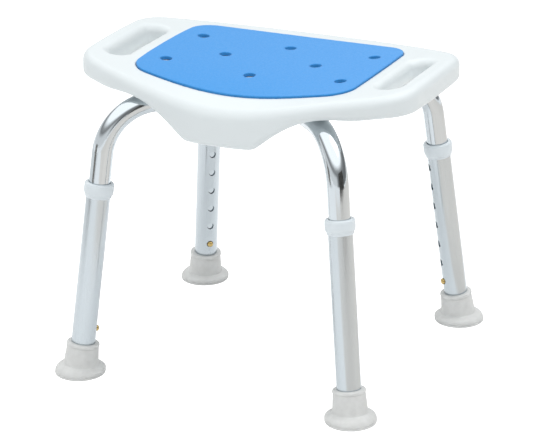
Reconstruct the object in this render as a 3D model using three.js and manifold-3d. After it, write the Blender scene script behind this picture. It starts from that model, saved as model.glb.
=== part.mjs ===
// Shower stool: a blow-moulded seat with two grip slots and an inlaid foam pad, on four splayed
// telescopic legs. Each leg is a bent upper tube screwed under the seat, and a lower tube that slides
// over it and locks on a sprung snap button. Millimetres, +Z up, origin on the floor at the centre of
// the footprint, +X along the seat's long side, -Y to the seat's front.
import * as THREE from 'three';
import { mergeVertices } from 'three/addons/utils/BufferGeometryUtils.js';
import Module from 'manifold-3d';

const wasm = await Module();
wasm.setup();

// ---------------------------------------------------------------- driving dimensions

const GAP = 0.3; // clearance between pieces that touch
const TUBE_SIDES = 14; // facets round the leg tubes and what fits on them
const HOLE_SIDES = 8;
const BEND_STEPS = 5;
const SLIVER = 0.06; // edges that a cut leaves closer to straight than this are dissolved
const CLEAR = 20; // how far a cutter passes beyond what it cuts
const THROUGH = [250, 400]; // heights that an upright cutter spans to pass through the seat

const SEAT = {
  halfLength: 214,
  halfWidth: 148.5,
  endRadius: 1880, // plan radius of the two short ends
  sideRadius: 390, // plan radius of the front and rear edges
  cornerRadius: 53,
  height: 359.6, // top surface at the middle of the seat
  endRise: 14.7, // how much higher the ends are
  crown: 3.3, // how much lower the long edges are
  frontDrop: 15, // extra fall of the front edge at its middle
  frontDropHalfSpan: 150,
  frontDropPower: 3,
  topEdge: 11.4, // edge roundings
  lowEdge: 6.4,
  panel: 19, // thickness of the middle
  lobe: 25, // thickness of the two ends
  lobeStart: 124,
  lobeFull: 138,
  wall: 3, // wall of the hollow moulding
};

const APRON = {
  top: 343.7,
  depth: 43.9,
  halfFlat: 44.5, // half of the straight bottom edge
  flank: 90, // plan length of each curved flank
  middleShare: 0.55, // depth left under the middle of the seat
  middleEnd: 60,
  lipStart: 115,
};

const GRIP = { middleX: 174, middleY: -4, width: 26, length: 116, lip: 8, sides: 12 };

const PAD = {
  halfLength: 140.5,
  halfWidth: 111,
  endRadius: 1500,
  sideRadius: 500,
  cornerRadius: 22,
  thickness: 4.6,
  recess: 2.5,
  margin: 1.5, // recess outline beyond the pad
};

const DRAIN = { cornerX: 112, cornerY: 49.5, sideX: 58.5, sideY: 56.5, padRadius: 6.5, seatRadius: 4.5 };

const LEG = {
  footX: 176.3,
  footY: 167.4,
  splay: THREE.MathUtils.degToRad(7.6),
  runHeight: 328, // tube centre under the seat
  bendRadius: 65,
  innerEnd: 40, // distance of the tube's inner end from the middle
};

const UPPER = { radius: 12.7, wall: 1.3, bottom: 34 };
const LOWER = { radius: 14.3, wall: 1.25, bottom: 11.1, top: 236.6 };
const HOLE = { first: 55.9, pitch: 25.4, count: 7, lowerRadius: 4.3, upperRadius: 4.1 };
const COLLAR = { bottom: 221, top: 239, radius: 17.8, neck: 15.7 };
const FOOT = { height: 39, socketTop: 18.9, socketBase: 21.1, flange: 30.3, boreFloor: 9 };
const WASHER = { radius: 13.8, hole: 4, thickness: 1.5, sides: 12 };
const BUTTON = { shank: 3.75, flange: 4.6, flangeIn: 8.8, flangeOut: 10.1, domeStart: 14.9, tip: 17.4 };
const SPRING = { width: 7.6, strip: 0.8, rest: -10.2, fold: 38 };
const SCREW = { stations: [57, 76], shank: 2.9, hole: 3.2, head: 5.6, headHeight: 3.4, tip: 351.5 };
const SADDLE = { radius: 8, bottom: 311.2, top: 318 };
const CHANNEL = { clearance: 0.5, length: 230, depth: 60 }; // for a tube, in the seat's underside
const VENT = { radius: 3, y: -95, top: 340 }; // blowing hole, from below into the hollow
const INSERT = { radius: 5, bottom: 341.6, top: 353 };
const PLUG = { depth: 12, rim: 2.2 };

// ---------------------------------------------------------------- materials

const paint = (color, roughness, metalness) =>
  new THREE.MeshStandardMaterial({ color, roughness, metalness });
const WHITE_PLASTIC = paint(0xf0f3f5, 0.38, 0);
const BLUE_FOAM = paint(0x4b9df2, 0.85, 0);
const POLISHED = paint(0xdfe2e6, 0.1, 1);
const SATIN = paint(0xcdd1d6, 0.34, 1);
const RUBBER = paint(0xcac4be, 0.75, 0);
const BRASS = paint(0xc9a24a, 0.3, 1);
const STEEL = paint(0xb4b8bd, 0.3, 1);

// ---------------------------------------------------------------- geometry helpers

const clamp01 = (value) => Math.min(1, Math.max(0, value));
const smooth = (from, to, value) => THREE.MathUtils.smoothstep(value, from, to);
const range = (count, each) => Array.from({ length: count }, (_, i) => each(i));
const toRadians = (degrees) => degrees.map(THREE.MathUtils.degToRad);

function toSolid(geometry) {
  const bare = geometry.clone();
  bare.deleteAttribute('normal');
  bare.deleteAttribute('uv');
  const merged = mergeVertices(bare, 1e-4);
  const vertProperties = new Float32Array(merged.attributes.position.array);
  const triVerts = new Uint32Array(merged.index.array);
  return new wasm.Manifold(new wasm.Mesh({ numProp: 3, vertProperties, triVerts }));
}

function toGeometry(solid) {
  const { vertProperties, triVerts } = solid.getMesh();
  const geometry = new THREE.BufferGeometry();
  geometry.setAttribute('position', new THREE.BufferAttribute(vertProperties, 3));
  geometry.setIndex(new THREE.BufferAttribute(triVerts, 1));
  return geometry;
}

const cut = (geometry, ...tools) => {
  const solid = tools.reduce((rest, tool) => rest.subtract(toSolid(tool)), toSolid(geometry));
  return toGeometry(solid.simplify(SLIVER));
};

// A closed body skinned over rings of equally many points. Each end closes on a pole point, or the
// last ring joins the first one when there are no poles.
function skin(rings, poles) {
  const sides = rings[0].length;
  const points = rings.flat();
  const index = [];
  const quad = (ringA, ringB) => {
    for (let i = 0; i < sides; i += 1) {
      const j = (i + 1) % sides;
      const [a, b, c, d] = [ringA * sides + i, ringA * sides + j, ringB * sides + j, ringB * sides + i];
      index.push(a, b, c, a, c, d);
    }
  };
  for (let r = 0; r + 1 < rings.length; r += 1) quad(r, r + 1);
  if (poles) {
    const first = points.push(poles[0]) - 1;
    const last = points.push(poles[1]) - 1;
    const lastRing = (rings.length - 1) * sides;
    for (let i = 0; i < sides; i += 1) {
      const j = (i + 1) % sides;
      index.push(first, j, i, last, lastRing + i, lastRing + j);
    }
  } else {
    quad(rings.length - 1, 0);
  }
  const geometry = new THREE.BufferGeometry().setFromPoints(points);
  geometry.setIndex(index);
  return facingOut(geometry);
}

// Turns the faces round if they enclose a negative volume.
function facingOut(geometry) {
  const position = geometry.attributes.position;
  const index = geometry.index.array;
  const [a, b, c] = [new THREE.Vector3(), new THREE.Vector3(), new THREE.Vector3()];
  let volume = 0;
  for (let i = 0; i < index.length; i += 3) {
    a.fromBufferAttribute(position, index[i]);
    b.fromBufferAttribute(position, index[i + 1]);
    c.fromBufferAttribute(position, index[i + 2]);
    volume += a.dot(b.cross(c));
  }
  if (volume < 0) geometry.setIndex(Array.from(index).reverse());
  return geometry;
}

// A body of revolution about +Z from a closed profile of [radius, height] pairs.
function turned(profile, sides) {
  const points = profile.map(([radius, height]) => new THREE.Vector2(radius, height));
  const lathe = new THREE.LatheGeometry([...points, points[0]], sides);
  return lathe.rotateX(Math.PI / 2);
}

const cylinderAlongZ = (radius, bottom, top, sides) =>
  new THREE.CylinderGeometry(radius, radius, top - bottom, sides)
    .rotateX(Math.PI / 2)
    .translate(0, 0, (bottom + top) / 2);

// ---------------------------------------------------------------- outlines in plan

// Where two circles cross, in the quadrant of positive x and y.
function circleCrossing(x1, radius1, y2, radius2) {
  const span = Math.hypot(x1, y2);
  const along = (span ** 2 + radius1 ** 2 - radius2 ** 2) / (2 * span);
  const aside = Math.sqrt(radius1 ** 2 - along ** 2);
  const [ux, uy] = [-x1 / span, y2 / span];
  const candidates = [1, -1].map((side) => new THREE.Vector2(
    x1 + along * ux + side * aside * uy,
    along * uy - side * aside * ux,
  ));
  return candidates.find((point) => point.x > 0 && point.y > 0);
}

// A rounded outline of four arcs and four corner fillets, counterclockwise from the right end's middle.
function outline({ halfLength, halfWidth, endRadius, sideRadius, cornerRadius }, [end, corner, side]) {
  const endX = halfLength - endRadius;
  const sideY = halfWidth - sideRadius;
  const fillet = circleCrossing(endX, endRadius - cornerRadius, sideY, sideRadius - cornerRadius);
  const atEnd = Math.atan2(fillet.y, fillet.x - endX);
  const atSide = Math.atan2(fillet.y - sideY, fillet.x);
  const arc = (x, y, radius, from, to, steps) => range(steps, (i) => {
    const angle = from + ((to - from) * i) / steps;
    return { x: x + radius * Math.cos(angle), y: y + radius * Math.sin(angle), angle };
  });
  const quarter = [
    ...arc(endX, 0, endRadius, 0, atEnd, end),
    ...arc(fillet.x, fillet.y, cornerRadius, atEnd, atSide, corner),
    ...arc(0, sideY, sideRadius, atSide, Math.PI / 2, side),
    { x: 0, y: halfWidth, angle: Math.PI / 2 },
  ];
  const mirrorX = ({ x, y, angle }) => ({ x: -x, y, angle: Math.PI - angle });
  const half = [...quarter, ...quarter.slice(0, -1).reverse().map(mirrorX)];
  const mirrorY = ({ x, y, angle }) => ({ x, y: -y, angle: -angle });
  return [...half, ...half.slice(1, -1).reverse().map(mirrorY)];
}

const insetBy = (points, inset) => points.map(({ x, y, angle }) => ({
  x: x - inset * Math.cos(angle),
  y: y - inset * Math.sin(angle),
  angle,
}));

const grown = (dims, by) => ({
  ...dims,
  halfLength: dims.halfLength + by,
  halfWidth: dims.halfWidth + by,
  endRadius: dims.endRadius + by,
  sideRadius: dims.sideRadius + by,
  cornerRadius: dims.cornerRadius + by,
});

// ---------------------------------------------------------------- seat surfaces

function seatTop(x, y) {
  const dish = SEAT.endRise * (x / SEAT.halfLength) ** 2;
  const crown = SEAT.crown * (y / SEAT.halfWidth) ** 2;
  const fade = clamp01(1 - (x / SEAT.frontDropHalfSpan) ** 2) ** 2;
  const drop = SEAT.frontDrop * Math.max(0, -y / SEAT.halfWidth) ** SEAT.frontDropPower * fade;
  return SEAT.height + dish - crown - drop;
}

function seatUnderside(x, y) {
  const thicker = smooth(SEAT.lobeStart, SEAT.lobeFull, Math.abs(x));
  const thickness = SEAT.panel + (SEAT.lobe - SEAT.panel) * thicker;
  const flank = (1 - clamp01((Math.abs(x) - APRON.halfFlat) / APRON.flank)) ** 2;
  const lip = smooth(APRON.middleEnd, APRON.lipStart, Math.abs(y));
  const depth = APRON.depth * flank * (APRON.middleShare + (1 - APRON.middleShare) * lip);
  return Math.min(seatTop(x, y) - thickness, APRON.top - depth);
}

const SLAB_SHARES = [0.4, 0.72, 1]; // of the way from the middle to the edge, where the rings lie
const SHEET_SHARES = [0.45, 0.75, 1];
const EDGE_TURNS = toRadians([0, 45, 90]);

// The seat's rounded slab, shrunk by an inset all round.
function seatSlab(inset, steps) {
  const rim = insetBy(outline(SEAT, steps), inset);
  const topEdge = SEAT.topEdge - inset;
  const lowEdge = Math.max(1, SEAT.lowEdge - inset);
  const flat = insetBy(rim, topEdge);
  const low = insetBy(rim, lowEdge);
  const at = ({ x, y }, z) => new THREE.Vector3(x, y, z);
  const scaled = (points, share, height) => points
    .map(({ x, y }) => ({ x: x * share, y: y * share }))
    .map((point) => at(point, height(point.x, point.y)));
  const top = (x, y) => seatTop(x, y) - inset;
  const under = (x, y) => seatUnderside(x, y) + inset;
  const rings = [
    ...SLAB_SHARES.map((share) => scaled(flat, share, top)),
    ...EDGE_TURNS.slice(1).map((turn) => insetBy(rim, topEdge * (1 - Math.sin(turn)))
      .map((point, i) => at(point, top(flat[i].x, flat[i].y) - topEdge * (1 - Math.cos(turn))))),
    ...EDGE_TURNS.slice(0, -1).map((turn) => insetBy(rim, lowEdge * (1 - Math.cos(turn)))
      .map((point, i) => at(point, under(low[i].x, low[i].y) + lowEdge * (1 - Math.sin(turn))))),
    ...SLAB_SHARES.toReversed().map((share) => scaled(low, share, under)),
  ];
  return skin(rings, [at({ x: 0, y: 0 }, top(0, 0)), at({ x: 0, y: 0 }, under(0, 0))]);
}

// A sheet between two surfaces that follow the seat's top, offset by low and high.
function sheetOnSeat(dims, steps, low, high) {
  const edge = outline(dims, steps);
  const ring = (share, offset) => edge
    .map(({ x, y }) => ({ x: x * share, y: y * share }))
    .map(({ x, y }) => new THREE.Vector3(x, y, seatTop(x, y) + offset));
  const upper = SHEET_SHARES.map((share) => ring(share, high));
  const lower = SHEET_SHARES.toReversed().map((share) => ring(share, low));
  const pole = (offset) => new THREE.Vector3(0, 0, SEAT.height + offset);
  return skin([...upper, ...lower], [pole(high), pole(low)]);
}

// ---------------------------------------------------------------- cutters for the seat

// A stadium prism with rounded lips, wider where it meets the seat's top and underside.
function gripCutter(side, grow) {
  const halfWidth = GRIP.width / 2 + grow;
  const halfStraight = (GRIP.length - GRIP.width) / 2;
  const middle = side * GRIP.middleX;
  const top = seatTop(middle, 0) - grow;
  const bottom = seatUnderside(middle, 0) + grow;
  const lip = grow > 0 ? 0 : GRIP.lip;
  const ring = (extra, z) => range(GRIP.sides, (i) => {
    const angle = ((i + 0.5) / GRIP.sides) * Math.PI * 2;
    const shift = Math.sin(angle) > 0 ? halfStraight : -halfStraight;
    const x = middle + (halfWidth + extra) * Math.cos(angle);
    const y = GRIP.middleY + shift + (halfWidth + extra) * Math.sin(angle);
    return new THREE.Vector3(x, y, z);
  });
  const widening = (turn) => lip * (1 - Math.cos(turn));
  const sinking = (turn) => lip * (1 - Math.sin(turn));
  const rings = [
    ring(lip, top + CLEAR),
    ...EDGE_TURNS.toReversed().map((turn) => ring(widening(turn), top - sinking(turn))),
    ...EDGE_TURNS.map((turn) => ring(widening(turn), bottom + sinking(turn))),
    ring(lip, bottom - CLEAR),
  ];
  const pole = (z) => new THREE.Vector3(middle, GRIP.middleY, z);
  return skin(rings, [pole(top + CLEAR), pole(bottom - CLEAR)]);
}

// The four diagonal directions of the legs: front left, front right, rear left, rear right.
const LEGS = [
  { name: 'front_left', sx: -1, sy: -1 },
  { name: 'front_right', sx: 1, sy: -1 },
  { name: 'rear_left', sx: -1, sy: 1 },
  { name: 'rear_right', sx: 1, sy: 1 },
];
const legAngle = ({ sx, sy }) => Math.atan2(sy * LEG.footY, sx * LEG.footX);
const FOOT_REACH = Math.hypot(LEG.footX, LEG.footY);

const DRAINS = [
  ...LEGS.map(({ sx, sy }) => [sx * DRAIN.cornerX, sy * DRAIN.cornerY]),
  [DRAIN.sideX, 0],
  [-DRAIN.sideX, 0],
  [0, DRAIN.sideY],
  [0, -DRAIN.sideY],
];

// A channel for a leg tube, round at the top and open below, along +X from the seat's middle.
function channelCutter(grow) {
  const radius = UPPER.radius + CHANNEL.clearance + grow;
  const shape = new THREE.Shape();
  shape.moveTo(-radius, -CHANNEL.depth);
  shape.lineTo(radius, -CHANNEL.depth);
  shape.lineTo(radius, 0);
  shape.absarc(0, 0, radius, 0, Math.PI, false);
  shape.lineTo(-radius, -CHANNEL.depth);
  const extrusion = { depth: CHANNEL.length, bevelEnabled: false, curveSegments: 6 };
  const bar = new THREE.ExtrudeGeometry(shape, extrusion);
  const start = LEG.innerEnd - PLUG.rim - 1 - grow;
  return bar.rotateX(Math.PI / 2).rotateZ(Math.PI / 2).translate(start, 0, LEG.runHeight);
}

const stationCutter = (x, radius, bottom, top) => cylinderAlongZ(radius, bottom, top, HOLE_SIDES)
  .translate(x, 0, 0);

const drainCutters = (radius, sides) => DRAINS
  .map(([x, y]) => cylinderAlongZ(radius, ...THROUGH, sides).translate(x, y, 0));

function insertPocket(x, grow) {
  return stationCutter(x, INSERT.radius + GAP + grow, LEG.runHeight, INSERT.top + GAP + grow);
}

function seatCutters(grow) {
  const legs = LEGS.flatMap((leg) => {
    const tools = [channelCutter(grow), ...SCREW.stations.map((x) => insertPocket(x, grow))];
    return tools.map((tool) => tool.rotateZ(legAngle(leg)));
  });
  const grips = [-1, 1].map((side) => gripCutter(side, grow));
  return [...drainCutters(DRAIN.seatRadius + grow, HOLE_SIDES), ...grips, ...legs];
}

function makeSeat() {
  const floor = -PAD.recess;
  const recess = sheetOnSeat(grown(PAD, PAD.margin), [1, 2, 5], floor, CLEAR);
  const underRecess = sheetOnSeat(grown(PAD, PAD.margin + SEAT.wall), [1, 2, 4], floor - SEAT.wall, CLEAR);
  const cavity = cut(seatSlab(SEAT.wall, [1, 2, 5]), underRecess, ...seatCutters(SEAT.wall));
  const vent = cylinderAlongZ(VENT.radius, THROUGH[0], VENT.top, HOLE_SIDES).translate(0, VENT.y, 0);
  return cut(seatSlab(0, [1, 4, 8]), recess, cavity, vent, ...seatCutters(0));
}

function makePad() {
  const bottom = -PAD.recess + GAP;
  const sheet = sheetOnSeat(PAD, [1, 3, 5], bottom, bottom + PAD.thickness);
  return cut(sheet, ...drainCutters(DRAIN.padRadius, 10));
}

// ---------------------------------------------------------------- legs
// A leg is built in its own upright plane: x is the distance from the seat's middle along the leg's
// diagonal and z the height. Stations s run along the leg's axis from the floor.

const AXIS_UP = new THREE.Vector3(-Math.sin(LEG.splay), 0, Math.cos(LEG.splay));
const onAxis = (s) => new THREE.Vector3(FOOT_REACH, 0, 0).addScaledVector(AXIS_UP, s);

// A ring of points about a centre, facing along a direction in the leg's plane.
function ringAt(centre, direction, radius, sides) {
  const across = new THREE.Vector3(direction.z, 0, -direction.x);
  return range(sides, (i) => {
    const angle = (i / sides) * Math.PI * 2;
    return centre.clone()
      .addScaledVector(across, radius * Math.cos(angle))
      .add(new THREE.Vector3(0, radius * Math.sin(angle), 0));
  });
}

const axisRing = (s, radius, sides) => ringAt(onAxis(s), AXIS_UP, radius, sides);

// Stations of the upper tube's centre line: up the leg, round the bend, then level to the middle.
function upperPath() {
  const turn = Math.PI / 2 - LEG.splay;
  const tangent = LEG.bendRadius * Math.tan(turn / 2);
  const bendStart = LEG.runHeight / Math.cos(LEG.splay) - tangent;
  const inward = new THREE.Vector3(-Math.cos(LEG.splay), 0, -Math.sin(LEG.splay));
  const centre = onAxis(bendStart).addScaledVector(inward, LEG.bendRadius);
  const bend = range(BEND_STEPS + 1, (i) => {
    const angle = (turn * i) / BEND_STEPS;
    const [cosine, sine] = [Math.cos(angle), Math.sin(angle)];
    const direction = AXIS_UP.clone().multiplyScalar(cosine).addScaledVector(inward, sine);
    const outward = AXIS_UP.clone().multiplyScalar(sine).addScaledVector(inward, -cosine);
    return { centre: centre.clone().addScaledVector(outward, LEG.bendRadius), direction };
  });
  const innerEnd = new THREE.Vector3(LEG.innerEnd, 0, LEG.runHeight);
  return [
    { centre: onAxis(UPPER.bottom), direction: AXIS_UP },
    ...bend,
    { centre: innerEnd, direction: new THREE.Vector3(-1, 0, 0) },
  ];
}

// A piece drawn along +Z outwards from the leg's axis, turned at station s to face the seat's middle.
const facingInward = (geometry, s) => geometry
  .rotateY(-Math.PI / 2)
  .rotateY(-LEG.splay)
  .translate(...onAxis(s).toArray());

// A hole through a tube's inward wall only.
const wallHole = (s, radius) => facingInward(cylinderAlongZ(radius, LOWER.radius / 2, CLEAR, HOLE_SIDES), s);

function makeUpperTube() {
  const path = upperPath();
  const along = (radius) => path
    .map(({ centre, direction }) => ringAt(centre, direction, radius, TUBE_SIDES));
  const tube = skin([...along(UPPER.radius), ...along(UPPER.radius - UPPER.wall).reverse()]);
  const screwHoles = SCREW.stations.map((x) => stationCutter(x, SCREW.hole, ...THROUGH));
  return cut(tube, wallHole(HOLE.first, HOLE.upperRadius), ...screwHoles);
}

function makeLowerTube() {
  const inside = LOWER.radius - LOWER.wall;
  const tube = skin([
    axisRing(LOWER.bottom, LOWER.radius, TUBE_SIDES),
    axisRing(LOWER.top, LOWER.radius, TUBE_SIDES),
    axisRing(LOWER.top, inside, TUBE_SIDES),
    axisRing(LOWER.bottom, inside, TUBE_SIDES),
  ]);
  return cut(tube, ...range(HOLE.count, (i) => wallHole(HOLE.first + i * HOLE.pitch, HOLE.lowerRadius)));
}

function makeCollar() {
  const profile = [
    [COLLAR.neck, COLLAR.bottom],
    [COLLAR.radius - 0.5, COLLAR.bottom + 4.5],
    [COLLAR.radius, COLLAR.bottom + 9],
    [COLLAR.radius - 0.4, COLLAR.top - 2.5],
    [COLLAR.radius - 2, COLLAR.top],
    [UPPER.radius + GAP, COLLAR.top],
    [UPPER.radius + GAP, LOWER.top + GAP],
    [LOWER.radius + GAP, LOWER.top + GAP],
    [LOWER.radius + GAP, COLLAR.bottom],
  ];
  return skin(profile.map(([radius, s]) => axisRing(s, radius, TUBE_SIDES)));
}

// The rubber tip: a flat round base on the floor that flares up into a socket along the leg's axis.
function makeFoot() {
  const level = new THREE.Vector3(0, 0, 1);
  const profile = [
    [FOOT.flange - 1.5, 0],
    [FOOT.flange, 1.5],
    [FOOT.flange, 5.5],
    [FOOT.flange - 2, 7.5],
    [FOOT.flange - 6, 9.5],
    [FOOT.socketBase + 1, 13.5],
    [FOOT.socketBase, 18],
    [FOOT.socketTop + 0.2, FOOT.height - 5],
    [FOOT.socketTop + 0.9, FOOT.height - 4],
    [FOOT.socketTop + 0.9, FOOT.height - 1],
    [FOOT.socketTop, FOOT.height],
    [LOWER.radius + GAP, FOOT.height],
    [LOWER.radius + GAP, FOOT.boreFloor],
  ];
  const tiltEnd = 18;
  const rings = profile.map(([radius, s], i) => {
    const insideBore = i >= profile.length - 1;
    const share = insideBore ? 1 : clamp01(s / tiltEnd);
    const direction = level.clone().lerp(AXIS_UP, share).normalize();
    return ringAt(onAxis(s / Math.cos(LEG.splay * (1 - share))), direction, radius, TUBE_SIDES);
  });
  return skin(rings, [onAxis(0), onAxis(FOOT.boreFloor)]);
}

function makeFootWasher() {
  const low = FOOT.boreFloor + GAP;
  const high = low + WASHER.thickness;
  return skin([
    axisRing(low, WASHER.radius, WASHER.sides),
    axisRing(high, WASHER.radius, WASHER.sides),
    axisRing(high, WASHER.hole, WASHER.sides),
    axisRing(low, WASHER.hole, WASHER.sides),
  ]);
}

function makeButton() {
  return facingInward(turned([
    [0, BUTTON.flangeIn],
    [BUTTON.flange, BUTTON.flangeIn],
    [BUTTON.flange, BUTTON.flangeOut],
    [BUTTON.shank, BUTTON.flangeOut],
    [BUTTON.shank, BUTTON.domeStart],
    [BUTTON.shank * 0.7, BUTTON.tip - 0.5],
    [0, BUTTON.tip],
  ], HOLE_SIDES), HOLE.first);
}

// A folded leaf inside the upper tube: one arm bears on the far wall, the other carries the button.
function makeSpring() {
  const armOut = BUTTON.flangeIn - GAP;
  const armIn = SPRING.rest;
  const { fold, strip } = SPRING;
  const outer = [
    [armOut, -5], [armOut, 7], [4, fold - 6], [0, fold], [-4, fold - 4], [armIn, 8], [armIn, -4],
  ];
  const inner = [
    [armIn + strip, -4], [armIn + strip, 8], [-3.4, fold - 5], [0, fold - strip],
    [3.3, fold - 7], [armOut - strip, 6.6], [armOut - strip, -5],
  ];
  const shape = new THREE.Shape([...outer, ...inner].map(([out, up]) => new THREE.Vector2(out, up)));
  const leaf = new THREE.ExtrudeGeometry(shape, { depth: SPRING.width, bevelEnabled: false });
  leaf.translate(0, 0, -SPRING.width / 2).rotateX(Math.PI / 2).rotateZ(Math.PI);
  return leaf.rotateY(-LEG.splay).translate(...onAxis(HOLE.first).toArray());
}

function makeScrew(x) {
  const headTop = SADDLE.bottom - GAP;
  return turned([
    [0, headTop - SCREW.headHeight],
    [SCREW.head * 0.7, headTop - SCREW.headHeight],
    [SCREW.head, headTop - 1],
    [SCREW.head, headTop],
    [SCREW.shank, headTop],
    [SCREW.shank, SCREW.tip - 1],
    [SCREW.shank - 1, SCREW.tip],
    [0, SCREW.tip],
  ], HOLE_SIDES).translate(x, 0, 0);
}

function makeSaddle(x) {
  const puck = cylinderAlongZ(SADDLE.radius, SADDLE.bottom, SADDLE.top, 10).translate(x, 0, 0);
  const clearRadius = (UPPER.radius + GAP) / Math.cos(Math.PI / TUBE_SIDES);
  const tube = cylinderAlongZ(clearRadius, -CLEAR, CLEAR, TUBE_SIDES)
    .rotateY(Math.PI / 2)
    .translate(x, 0, LEG.runHeight);
  return cut(puck, tube, stationCutter(x, SCREW.hole, ...THROUGH));
}

const makeInsert = (x) => turned([
  [SCREW.hole, INSERT.bottom],
  [INSERT.radius, INSERT.bottom],
  [INSERT.radius, INSERT.top],
  [SCREW.hole, INSERT.top],
], HOLE_SIDES).translate(x, 0, 0);

// A moulded plug that closes the upper tube's inner end under the seat.
function makePlug() {
  const fit = UPPER.radius - UPPER.wall - GAP;
  const plug = turned([
    [0, -PLUG.rim],
    [UPPER.radius - 1, -PLUG.rim],
    [UPPER.radius, -PLUG.rim + 1],
    [UPPER.radius, -GAP],
    [fit, -GAP],
    [fit - 0.6, PLUG.depth],
    [fit - 2.4, PLUG.depth],
    [fit - 2.4, 1],
    [0, 1],
  ], 10);
  return plug.rotateY(Math.PI / 2).translate(LEG.innerEnd, 0, LEG.runHeight);
}

// ---------------------------------------------------------------- assembly

const stool = new THREE.Group();
const put = (parent, name, geometry, material) => {
  const mesh = new THREE.Mesh(geometry, material);
  mesh.name = name;
  parent.add(mesh);
};

put(stool, 'seat_moulding', makeSeat(), WHITE_PLASTIC);
put(stool, 'seat_pad', makePad(), BLUE_FOAM);

for (const leg of LEGS) {
  const group = new THREE.Group();
  group.rotation.z = legAngle(leg);
  stool.add(group);
  const add = (part, geometry, material) => put(group, `${leg.name}_${part}`, geometry, material);
  add('upper_tube', makeUpperTube(), POLISHED);
  add('tube_end_plug', makePlug(), WHITE_PLASTIC);
  add('lower_tube', makeLowerTube(), SATIN);
  add('collar', makeCollar(), WHITE_PLASTIC);
  add('rubber_foot', makeFoot(), RUBBER);
  add('foot_washer', makeFootWasher(), STEEL);
  add('snap_button', makeButton(), BRASS);
  add('button_spring', makeSpring(), STEEL);
  for (const [place, x] of [['inner', SCREW.stations[0]], ['outer', SCREW.stations[1]]]) {
    add(`${place}_screw`, makeScrew(x), STEEL);
    add(`${place}_saddle`, makeSaddle(x), STEEL);
    add(`${place}_insert`, makeInsert(x), BRASS);
  }
}

export default stool;
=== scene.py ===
"""Shower stool: the visible model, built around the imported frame.

Shapes are worked out in millimetres in the row frame (+X along the seat, -Y to the front, +Z up) and
become metres when a piece is made. The seat and the pad are contoured from distance fields, so that
their edges flow into each other as on a moulding. The leg pieces are swept, turned and cut.
"""
import math

import bmesh
import bpy
import numpy as np
from mathutils import Matrix, Quaternion, Vector


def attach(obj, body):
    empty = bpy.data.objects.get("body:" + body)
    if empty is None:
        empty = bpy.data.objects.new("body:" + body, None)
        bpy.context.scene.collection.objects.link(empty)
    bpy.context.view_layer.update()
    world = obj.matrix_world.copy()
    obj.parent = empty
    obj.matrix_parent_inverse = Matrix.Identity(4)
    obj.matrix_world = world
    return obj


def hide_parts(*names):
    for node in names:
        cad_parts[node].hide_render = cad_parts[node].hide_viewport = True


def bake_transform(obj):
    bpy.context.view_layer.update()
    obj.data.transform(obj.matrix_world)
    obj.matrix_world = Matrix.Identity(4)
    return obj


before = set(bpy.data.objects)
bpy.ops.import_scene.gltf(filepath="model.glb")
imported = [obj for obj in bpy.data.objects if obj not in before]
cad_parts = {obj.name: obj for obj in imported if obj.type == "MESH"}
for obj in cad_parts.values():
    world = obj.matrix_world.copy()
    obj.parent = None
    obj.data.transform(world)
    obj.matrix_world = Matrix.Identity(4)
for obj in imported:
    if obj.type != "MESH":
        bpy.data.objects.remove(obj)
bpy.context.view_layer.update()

MM = 0.001
GAP = 0.3

# ---------------------------------------------------------------- driving dimensions

SEAT = dict(half_length=214, half_width=148.5, end_radius=1880, side_radius=390, corner_radius=53)
SEAT_HEIGHT = 359.6  # top surface at the middle
END_RISE = 14.7
CROWN = 3.3
FRONT_DROP = 15
FRONT_DROP_HALF_SPAN = 150
FRONT_DROP_POWER = 3
TOP_EDGE = 11.4
LOW_EDGE = 7.0
PANEL = 19
LOBE = 25
LOBE_START = 112
LOBE_FULL = 168

APRON_TOP = 343.7
APRON_DEPTH = 43.9
APRON_HALF_FLAT = 44.5
APRON_FLANK = 90
APRON_MIDDLE_SHARE = 0.55
APRON_MIDDLE_END = 60
APRON_LIP_START = 115
APRON_EASE = 5
APRON_BLEND = 2

GRIP_X = 174
GRIP_Y = -4
GRIP_WIDTH = 26
GRIP_LENGTH = 116
GRIP_LIP = 9
GRIP_DRAFT = 0.13  # the slot narrows downward

PAD = dict(half_length=140.5, half_width=111, end_radius=1500, side_radius=500, corner_radius=33)
PAD_THICKNESS = 4.6
PAD_EDGE = 1.1
RECESS_DEPTH = 2.5
RECESS_MARGIN = 0.9

DRAIN_CORNER = (112, 49.5)
DRAIN_SIDE = (58.5, 56.5)
PAD_HOLE = 7.1
SEAT_HOLE = 4.5
SMALL_EDGE = 0.6

FOOT_X = 176.3
FOOT_Y = 167.4
SPLAY = math.radians(7.6)
RUN_HEIGHT = 328
BEND_RADIUS = 65
INNER_END = 40
CHANNEL_CLEARANCE = 0.5
CHANNEL_EDGE = 1.5
PLUG_HEAD = 2.2

UPPER_RADIUS = 12.7
UPPER_WALL = 1.3
UPPER_BOTTOM = 34
LOWER_RADIUS = 14.3
LOWER_WALL = 1.25
LOWER_BOTTOM = 11.1
LOWER_TOP = 236.6
FIRST_HOLE = 55.9
HOLE_PITCH = 25.4
HOLE_COUNT = 7
LOWER_HOLE = 4.3
UPPER_HOLE = 4.1

COLLAR_BOTTOM = 221
COLLAR_TOP = 239
COLLAR_RADIUS = 17.8
COLLAR_NECK = 15.7
COLLAR_CREST = 230

FOOT_HEIGHT = 39
FOOT_SOCKET_TOP = 18.9
FOOT_SOCKET_BASE = 21.1
FOOT_FLANGE = 30.3
FOOT_BORE_FLOOR = 9
FOOT_LEVEL_TOP = 6  # below this the foot is level with the floor
FOOT_SQUARE_BOTTOM = 17  # above this it is square to the leg's axis
TREAD_RADII = (8, 13, 18, 23)
TREAD_DEPTH = 1.2

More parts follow.
